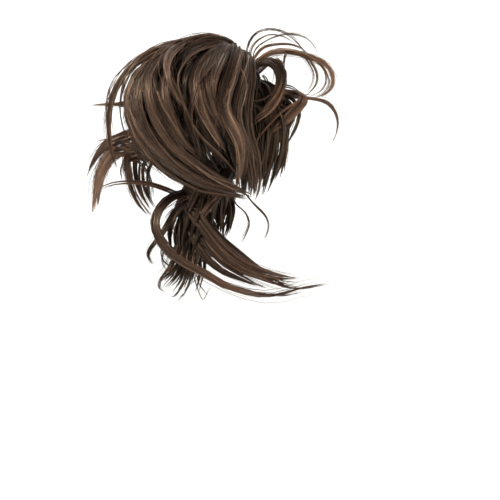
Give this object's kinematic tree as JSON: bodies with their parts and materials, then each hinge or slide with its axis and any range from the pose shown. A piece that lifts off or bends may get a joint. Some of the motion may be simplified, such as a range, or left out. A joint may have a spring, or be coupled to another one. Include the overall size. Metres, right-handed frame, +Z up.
{
  "type": "clip-on ponytail hairpiece",
  "caption": "Messy updo hairpiece of brown synthetic hair on a hidden claw clip: a rounded fall of curled locks with flicked ends, open loops over the crown and locks sweeping round the nape.",
  "frame": {"origin": "where the middle of the claw clip's teeth sits on the back of the wearer's head", "axes": "+Z up as the piece is worn, +Y the way the wearer faces and into the head, +X to the wearer's right"},
  "size_m": [0.1527, 0.218, 0.2461],
  "materials": {
    "clip_plastic": "gloss",
    "hair_brown": "satin synthetic fibre",
    "hair_light_brown": "satin synthetic fibre",
    "hair_dark_brown": "satin synthetic fibre"
  },
  "bodies": {
    "root": {"claw_clip": "clip_plastic", "crown_plume": "hair_brown", "loop_plume": "hair_light_brown", "nape_plume": "hair_dark_brown"}
  },
  "joints": []
}
